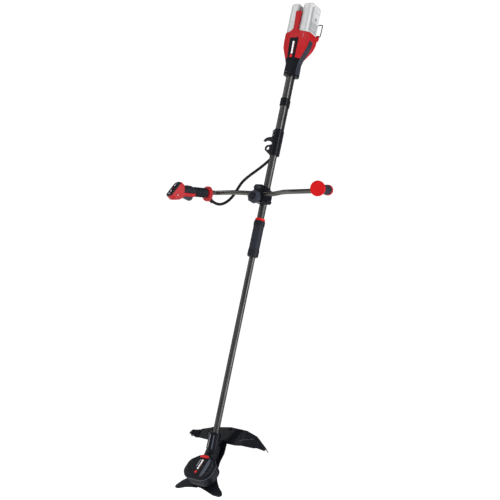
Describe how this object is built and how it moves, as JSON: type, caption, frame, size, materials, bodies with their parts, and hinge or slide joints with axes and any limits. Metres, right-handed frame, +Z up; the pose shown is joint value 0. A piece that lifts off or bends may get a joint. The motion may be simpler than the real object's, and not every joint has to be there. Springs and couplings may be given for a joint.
{
  "type": "cordless brush cutter",
  "caption": "Long-shaft battery brush cutter with bull-horn handlebar, twin slide-in packs, head motor, three-tooth blade and wide guard.",
  "frame": {"origin": "centre of the harness eyelet's bore, 35 mm to the trigger side of the shaft axis", "axes": "+Z up the shaft towards the battery packs, -Y the upper (sky) side where the handlebar sits, +X the operator's left"},
  "size_m": [0.7058, 0.3733, 2.0614],
  "materials": {
    "dark_tube": "dark anodised, lengthwise brushed stripes",
    "red_plastic": "satin moulded",
    "black_plastic": "fine moulded grain",
    "black_rubber": "soft grip",
    "pack_grey": "pale, slightly see-through",
    "steel": "brushed",
    "blade_steel": "dark coated",
    "copper": "bare contact metal",
    "board": "circuit board with metal fins",
    "cable_black": "cable jacket",
    "magnet_steel": "laminated steel"
  },
  "bodies": {
    "shaft": {"battery_tower": "red_plastic", "cable_clip": "black_plastic", "cable_loop": "cable_black", "cable_run": "cable_black", "clamp_back": "black_plastic", "clamp_bolts": "steel", "clamp_cap": "black_plastic", "clamp_saddle": "black_plastic", "control_board": "board", "coupling_ring": "red_plastic", "coupling_socket": "black_plastic", "harness_collar": "black_plastic", "harness_ear": "blade_steel", "harness_hook": "blade_steel", "harness_screws": "steel", "housing_front_shell": "red_plastic", "housing_rear_shell": "red_plastic", "label_panel": "black_plastic", "neck_cuff": "black_plastic", "side_grips": "black_rubber", "terminal_blocks": "copper", "upper_motor_lead": "cable_black", "upper_tube": "dark_tube"},
    "handlebar": {"handlebar_tube": "dark_tube", "left_grip_rubber": "black_rubber", "left_grip_ends": "red_plastic", "trigger_grip_flange": "red_plastic", "trigger_grip_inner": "black_rubber", "trigger_grip_outer": "black_rubber", "grip_pins": "steel", "trigger_switch": "black_plastic", "trigger_spring": "steel", "control_head": "red_plastic", "control_panel": "black_plastic", "trigger_bezel": "red_plastic"},
    "trigger": {"trigger": "black_plastic"},
    "lock_lever": {"lock_lever": "black_plastic"},
    "power_button": {"power_button": "black_plastic"},
    "speed_button": {"speed_button": "black_plastic"},
    "clamp_knob": {"clamp_knob": "black_plastic"},
    "coupling_sleeve": {"coupling_sleeve": "black_rubber"},
    "lower_shaft": {"lower_tube": "dark_tube", "lower_motor_lead": "cable_black", "motor_housing": "black_plastic", "motor_cover": "black_plastic", "motor_stator": "magnet_steel", "spindle_bearings": "steel", "guard": "black_plastic", "guard_screws": "steel"},
    "blade_set": {"blade": "blade_steel", "spindle": "steel", "motor_rotor": "magnet_steel", "drive_flange": "steel", "blade_fasteners": "steel"},
    "battery_left": {"battery_left": "pack_grey"},
    "battery_right": {"battery_right": "pack_grey"},
    "battery_latch_left": {"battery_latch_left": "pack_grey"},
    "battery_latch_right": {"battery_latch_right": "pack_grey"},
    "hanging_bail": {"hanging_bail": "blade_steel"}
  },
  "joints": [
    {"name": "handlebar_tilt", "type": "hinge", "parent": "shaft", "child": "handlebar", "pos_m": [0.035, -0.045, -0.209], "axis": [1, 0, 0], "range_deg": [-30, 30], "deforming": ["cable_loop"]},
    {"name": "trigger_pull", "type": "hinge", "parent": "handlebar", "child": "trigger", "pos_m": [-0.23052, -0.19574, -0.2681], "axis": [0.9657, -0.2596, 0], "range_deg": [0, 9], "stiffness_Nm_per_rad": 1.2, "springref_deg": -5.73, "deforming": ["trigger_spring"]},
    {"name": "lock_lever_press", "type": "hinge", "parent": "handlebar", "child": "lock_lever", "pos_m": [-0.22154, -0.16233, -0.23096], "axis": [0.9657, -0.2596, 0], "range_deg": [0, 7], "stiffness_Nm_per_rad": 1, "springref_deg": -5.73},
    {"name": "power_button_press", "type": "slide", "parent": "handlebar", "child": "power_button", "axis": [0.231, 0.8594, -0.456], "range_m": [0, 0.0015], "stiffness_N_per_m": 600, "springref_m": -0.001},
    {"name": "speed_button_press", "type": "slide", "parent": "handlebar", "child": "speed_button", "axis": [0.231, 0.8594, -0.456], "range_m": [0, 0.0015], "stiffness_N_per_m": 600, "springref_m": -0.001},
    {"name": "clamp_knob_turn", "type": "hinge", "parent": "shaft", "child": "clamp_knob", "pos_m": [0.035, -0.0638, -0.231], "axis": [0, -1, 0], "continuous": true},
    {"name": "coupling_turn", "type": "hinge", "parent": "shaft", "child": "coupling_sleeve", "pos_m": [0.035, 0, -0.4], "axis": [0, 0, 1], "range_deg": [0, 90]},
    {"name": "lower_shaft_pull", "type": "slide", "parent": "shaft", "child": "lower_shaft", "axis": [0, 0, -1], "range_m": [0, 0.09]},
    {"name": "blade_spin", "type": "hinge", "parent": "lower_shaft", "child": "blade_set", "pos_m": [0.035, -0.0068, -1.3576], "axis": [0, -0.831, 0.5563], "continuous": true},
    {"name": "battery_left_slide", "type": "slide", "parent": "shaft", "child": "battery_left", "axis": [0, 0, 1], "range_m": [0, 0.135]},
    {"name": "battery_right_slide", "type": "slide", "parent": "shaft", "child": "battery_right", "axis": [0, 0, 1], "range_m": [0, 0.135]},
    {"name": "latch_left_press", "type": "slide", "parent": "battery_left", "child": "battery_latch_left", "axis": [-1, 0, 0], "range_m": [0, 0.003], "stiffness_N_per_m": 600, "springref_m": -0.001},
    {"name": "latch_right_press", "type": "slide", "parent": "battery_right", "child": "battery_latch_right", "axis": [1, 0, 0], "range_m": [0, 0.003], "stiffness_N_per_m": 600, "springref_m": -0.001},
    {"name": "bail_swing", "type": "hinge", "parent": "shaft", "child": "hanging_bail", "pos_m": [0.035, 0.069, 0.524], "axis": [1, 0, 0], "range_deg": [-100, 0]}
  ]
}
